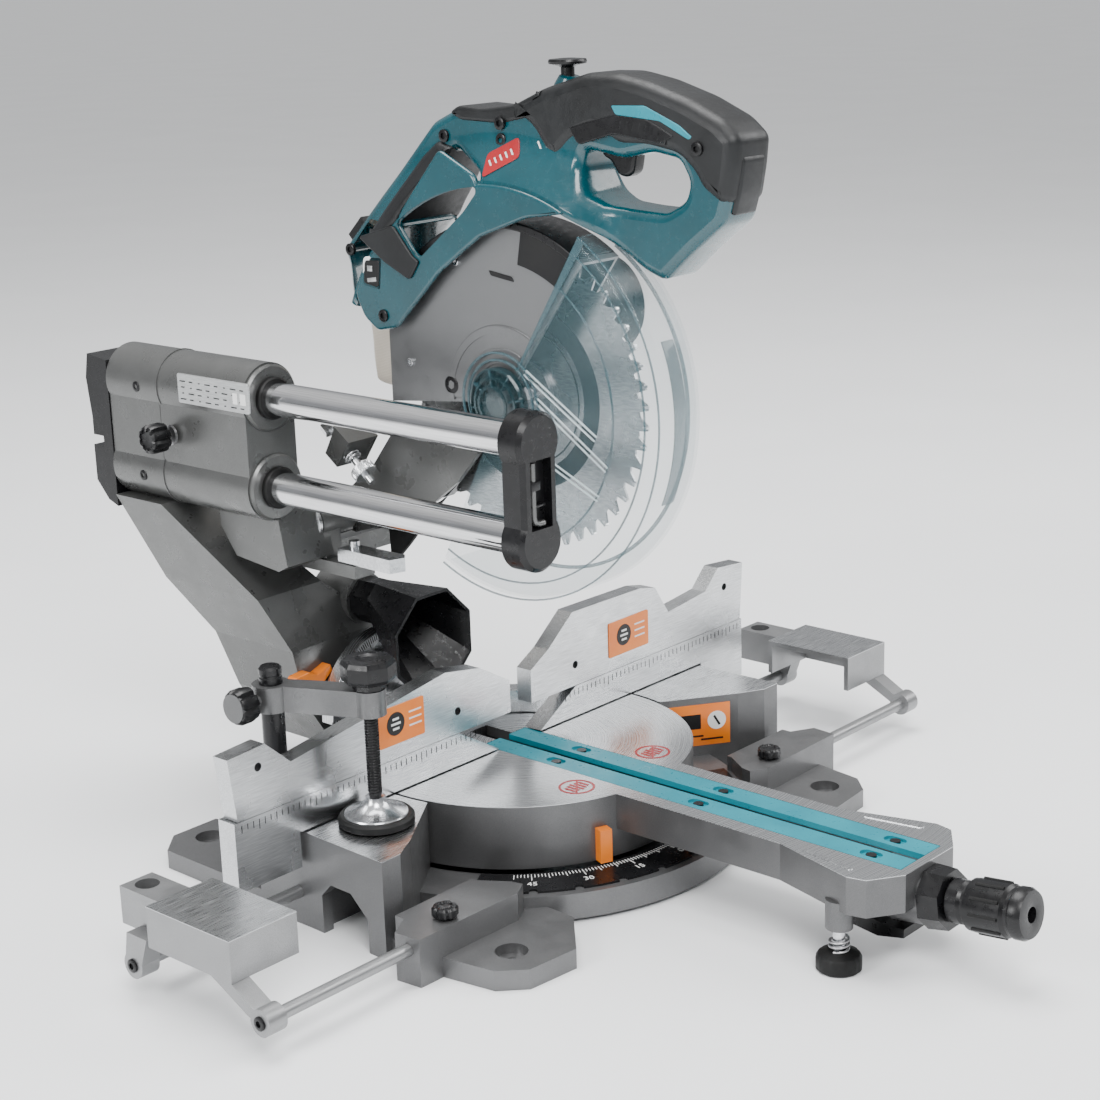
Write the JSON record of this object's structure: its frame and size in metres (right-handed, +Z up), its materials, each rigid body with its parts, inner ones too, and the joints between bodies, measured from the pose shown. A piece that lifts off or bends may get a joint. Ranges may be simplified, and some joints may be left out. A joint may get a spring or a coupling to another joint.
{
  "type": "sliding mitre saw",
  "caption": "Sliding compound mitre saw: round turntable on a flat base, tall fence, tilting arm with slide pipes, chopping head with a guarded blade, clamp, side supports and dust bag.",
  "frame": {"origin": "turntable axis at floor level, centre of the four bench bolt holes", "axes": "+Z up, operator stands at -Y, +X is the operator's right; blade plane x = 0, fence face y = 0"},
  "size_m": [0.708, 0.7539, 0.565],
  "materials": {
    "grey_casting": "satin",
    "machined_aluminium": "satin",
    "dark_casting": "satin",
    "chrome": "polished",
    "steel": "satin",
    "brass": "satin",
    "black_plastic": "matte",
    "teal_plastic": "gloss",
    "turquoise_plastic": "matte",
    "soft_grip": "matte",
    "orange_plastic": "gloss",
    "clear_plastic": "gloss",
    "bag_fabric": "matte"
  },
  "bodies": {
    "base": {"base_casting": "grey_casting", "mitre_scale_plate": "black_plastic", "lower_fence": "machined_aluminium", "pivot_bolt": "steel", "fence_bolts": "steel"},
    "turntable": {"turntable": "grey_casting", "kerf_boards": "turquoise_plastic", "kerf_screws": "steel", "mitre_pointer": "orange_plastic", "grip_collar": "grey_casting"},
    "mitre_grip": {"mitre_grip": "black_plastic"},
    "mitre_lever": {"mitre_lever": "black_plastic"},
    "front_foot": {"foot_screw": "steel", "foot_pad": "soft_grip"},
    "arm": {"arm_casting": "dark_casting", "arm_rear_cover": "black_plastic", "slide_pipes": "chrome", "pipe_end_cap": "dark_casting", "bevel_shaft": "steel", "dust_funnel": "black_plastic"},
    "bevel_lever": {"bevel_lock_lever": "black_plastic"},
    "carriage": {"carriage": "dark_casting", "slide_bushings": "brass", "hinge_pin": "steel"},
    "slide_lock": {"slide_lock_knob": "black_plastic"},
    "stopper": {"stopper_arm": "steel"},
    "head": {"head_body": "teal_plastic", "grip_covers": "soft_grip", "blade_case": "dark_casting", "head_arm": "dark_casting", "gear_case": "machined_aluminium", "gear_case_cover": "dark_casting", "motor_housing": "black_plastic", "motor_stator": "steel", "arbor_bearing": "steel", "dust_flap": "soft_grip", "dust_nozzle": "black_plastic", "dust_bag": "bag_fabric", "housing_screws": "steel", "battery_terminal": "brass", "centre_cover": "clear_plastic"},
    "blade": {"saw_blade": "steel", "arbor_shaft": "steel", "blade_flanges": "steel", "arbor_gear": "steel"},
    "motor": {"motor_rotor": "steel"},
    "guard": {"lower_guard": "clear_plastic"},
    "trigger": {"trigger": "black_plastic"},
    "lock_off": {"lock_off_button": "black_plastic"},
    "depth_bolt": {"depth_bolt": "steel"},
    "left_fence": {"left_upper_fence": "machined_aluminium"},
    "right_fence": {"right_upper_fence": "machined_aluminium"},
    "left_holder": {"left_holder": "machined_aluminium"},
    "right_holder": {"right_holder": "machined_aluminium"},
    "left_holder_knob": {"left_holder_knob": "black_plastic"},
    "right_holder_knob": {"right_holder_knob": "black_plastic"},
    "vise_post": {"vise_post": "black_plastic"},
    "vise_arm": {"vise_arm": "machined_aluminium"},
    "vise_screw": {"vise_screw": "black_plastic", "vise_pad": "soft_grip"}
  },
  "joints": [
    {"name": "mitre", "type": "hinge", "parent": "base", "child": "turntable", "pos_m": [0, 0, 0], "axis": [0, 0, 1], "range_deg": [-47, 47]},
    {"name": "mitre_grip_turn", "type": "hinge", "parent": "turntable", "child": "mitre_grip", "pos_m": [0, -0.3545, 0.046], "axis": [0, -0.9945, 0.1045], "range_deg": [0, 180]},
    {"name": "mitre_lever_press", "type": "hinge", "parent": "turntable", "child": "mitre_lever", "pos_m": [0, -0.284, 0.0255], "axis": [1, 0, 0], "range_deg": [0, 8], "stiffness_Nm_per_rad": 1, "springref_deg": -17.19},
    {"name": "front_foot_height", "type": "slide", "parent": "turntable", "child": "front_foot", "axis": [0, 0, 1], "range_m": [0, 0.005]},
    {"name": "bevel", "type": "hinge", "parent": "turntable", "child": "arm", "pos_m": [0, 0.15, 0.07], "axis": [0, 1, 0], "range_deg": [-18, 33]},
    {"name": "bevel_lock_turn", "type": "hinge", "parent": "arm", "child": "bevel_lever", "pos_m": [0, 0.25, 0.07], "axis": [0, 1, 0], "range_deg": [0, 25]},
    {"name": "head_slide", "type": "slide", "parent": "arm", "child": "carriage", "axis": [0, -1, 0], "range_m": [0, 0.21]},
    {"name": "slide_lock_turn", "type": "hinge", "parent": "carriage", "child": "slide_lock", "pos_m": [-0.132, 0.224, 0.298], "axis": [1, 0, 0], "range_deg": [0, 180]},
    {"name": "depth_stop_swing", "type": "hinge", "parent": "carriage", "child": "stopper", "pos_m": [-0.052, 0.112, 0.2], "axis": [0, 0, -1], "range_deg": [0, 60]},
    {"name": "chop", "type": "hinge", "parent": "carriage", "child": "head", "pos_m": [0, 0.15, 0.228], "axis": [1, 0, 0], "range_deg": [0, 47], "stiffness_Nm_per_rad": 24, "springref_deg": -34.38},
    {"name": "blade_spin", "type": "hinge", "parent": "head", "child": "blade", "pos_m": [0, -0.021, 0.333], "axis": [1, 0, 0], "continuous": true},
    {"name": "motor_spin", "type": "hinge", "parent": "head", "child": "motor", "pos_m": [0, -0.002, 0.382], "axis": [1, 0, 0], "continuous": true},
    {"name": "guard_lift", "type": "hinge", "parent": "head", "child": "guard", "pos_m": [0, -0.021, 0.333], "axis": [1, 0, 0], "range_deg": [-123, 0]},
    {"name": "trigger_press", "type": "slide", "parent": "head", "child": "trigger", "axis": [0, 0, 1], "range_m": [0, 0.005], "stiffness_N_per_m": 400, "springref_m": -0.005},
    {"name": "lock_off_press", "type": "slide", "parent": "head", "child": "lock_off", "axis": [0, 0, -1], "range_m": [0, 0.004], "stiffness_N_per_m": 400, "springref_m": -0.005},
    {"name": "depth_bolt_travel", "type": "slide", "parent": "head", "child": "depth_bolt", "axis": [0, -0.7682, -0.6402], "range_m": [-0.006, 0]},
    {"name": "left_fence_slide", "type": "slide", "parent": "base", "child": "left_fence", "axis": [-1, 0, 0], "range_m": [0, 0.04]},
    {"name": "right_fence_slide", "type": "slide", "parent": "base", "child": "right_fence", "axis": [1, 0, 0], "range_m": [0, 0.04]},
    {"name": "left_holder_slide", "type": "slide", "parent": "base", "child": "left_holder", "axis": [-1, 0, 0], "range_m": [-0.01, 0.045]},
    {"name": "right_holder_slide", "type": "slide", "parent": "base", "child": "right_holder", "axis": [1, 0, 0], "range_m": [-0.01, 0.045]},
    {"name": "left_holder_knob_turn", "type": "hinge", "parent": "base", "child": "left_holder_knob", "pos_m": [-0.196, -0.112, 0.035], "axis": [0, 0, 1], "range_deg": [0, 180]},
    {"name": "right_holder_knob_turn", "type": "hinge", "parent": "base", "child": "right_holder_knob", "pos_m": [0.158, -0.112, 0.035], "axis": [0, 0, 1], "range_deg": [0, 180]},
    {"name": "vise_swing", "type": "hinge", "parent": "base", "child": "vise_post", "pos_m": [-0.205, 0.035, 0.06], "axis": [0, 0, -1], "range_deg": [0, 40]},
    {"name": "vise_height", "type": "slide", "parent": "vise_post", "child": "vise_arm", "axis": [0, 0, 1], "range_m": [0, 0.012]},
    {"name": "vise_screw_travel", "type": "slide", "parent": "vise_arm", "child": "vise_screw", "axis": [0, 0, 1], "range_m": [0, 0.02]}
  ],
  "couplings": [
    {"joint": "motor_spin", "follows": "blade_spin", "ratio": -3.1176},
    {"joint": "guard_lift", "follows": "chop", "ratio": -2.6}
  ]
}
